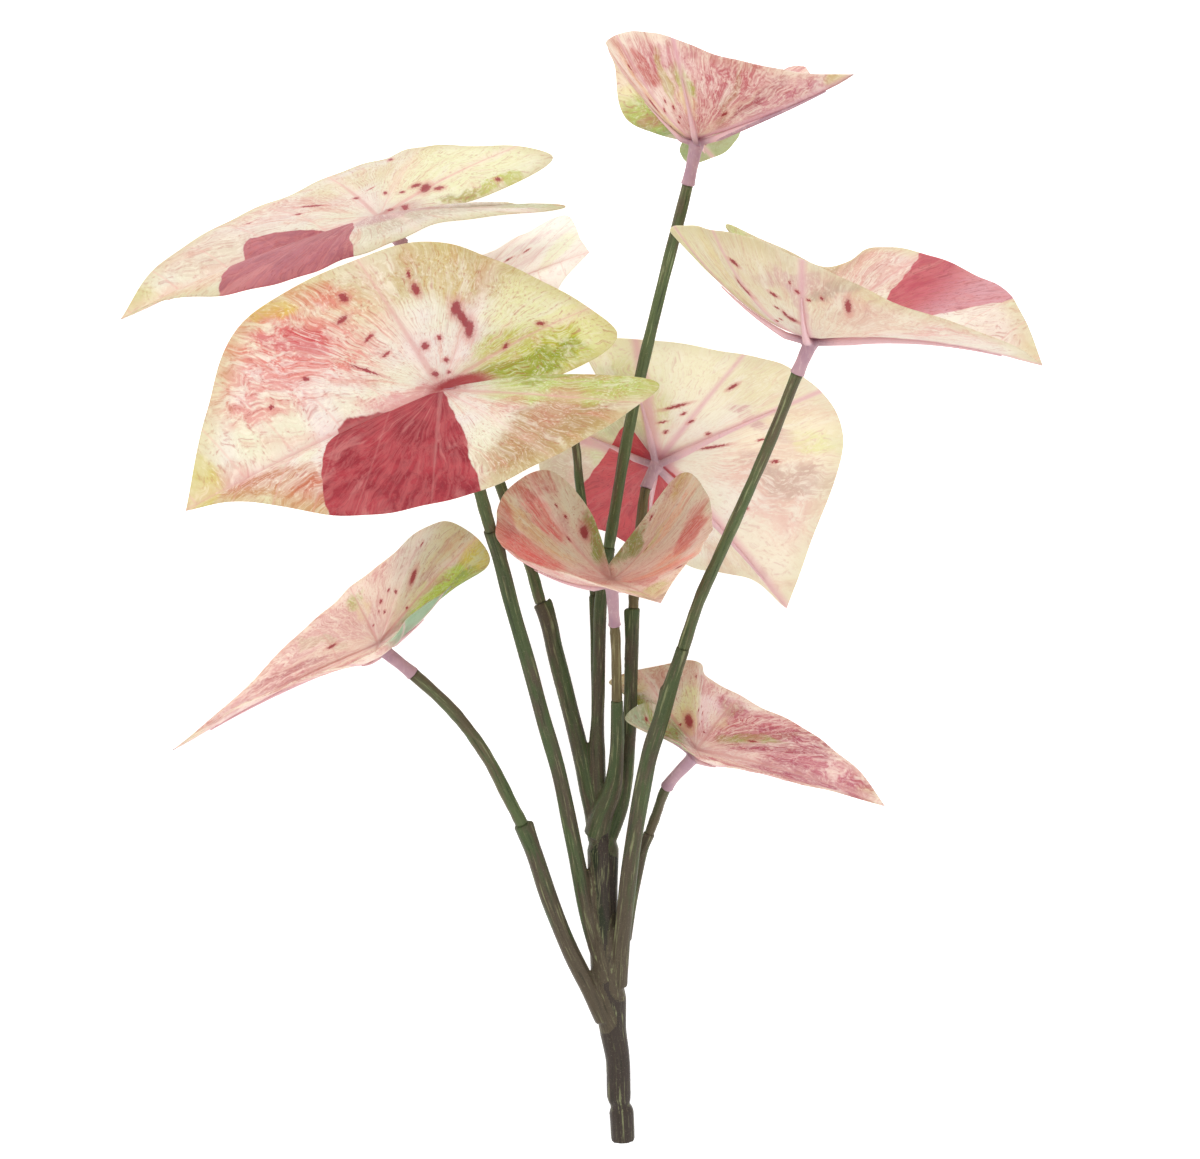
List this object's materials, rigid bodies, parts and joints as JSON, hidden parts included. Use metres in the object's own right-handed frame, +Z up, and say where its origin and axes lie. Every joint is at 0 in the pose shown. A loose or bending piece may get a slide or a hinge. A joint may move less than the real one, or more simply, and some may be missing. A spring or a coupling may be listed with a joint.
{
  "type": "artificial caladium spray",
  "caption": "Faux caladium spray lying on its back: arrow-shaped printed leaves on ribbed sockets and slim petioles that plug into one branched trunk with a cut end.",
  "frame": {"origin": "bottom centre of the bounding box, on the surface that the spray lies on", "axes": "+Y along the spray from the trunk's cut end to the leaves, +Z up from the surface, +X across the spray"},
  "size_m": [0.4119, 0.504, 0.2181],
  "materials": {
    "printed_leaf": "satin coated fabric, printed cream with rose, red and lime patches",
    "leaf_ribs": "lilac pink moulded plastic, satin",
    "petiole": "olive green moulded plastic, satin",
    "trunk": "brown and olive moulded plastic, satin"
  },
  "bodies": {
    "root": {"trunk": "trunk", "leaf_a": "printed_leaf", "leaf_b": "printed_leaf", "leaf_c": "printed_leaf", "leaf_d": "printed_leaf", "leaf_e": "printed_leaf", "leaf_f": "printed_leaf", "leaf_g": "printed_leaf", "leaf_h": "printed_leaf", "leaf_i": "printed_leaf", "ribs_a": "leaf_ribs", "ribs_b": "leaf_ribs", "ribs_c": "leaf_ribs", "ribs_d": "leaf_ribs", "ribs_e": "leaf_ribs", "ribs_f": "leaf_ribs", "ribs_g": "leaf_ribs", "ribs_h": "leaf_ribs", "ribs_i": "leaf_ribs", "petiole_a": "petiole", "petiole_b": "petiole", "petiole_c": "petiole", "petiole_d": "petiole", "petiole_e": "petiole", "petiole_f": "petiole", "petiole_g": "petiole", "petiole_h": "petiole", "petiole_i": "petiole"}
  },
  "joints": []
}
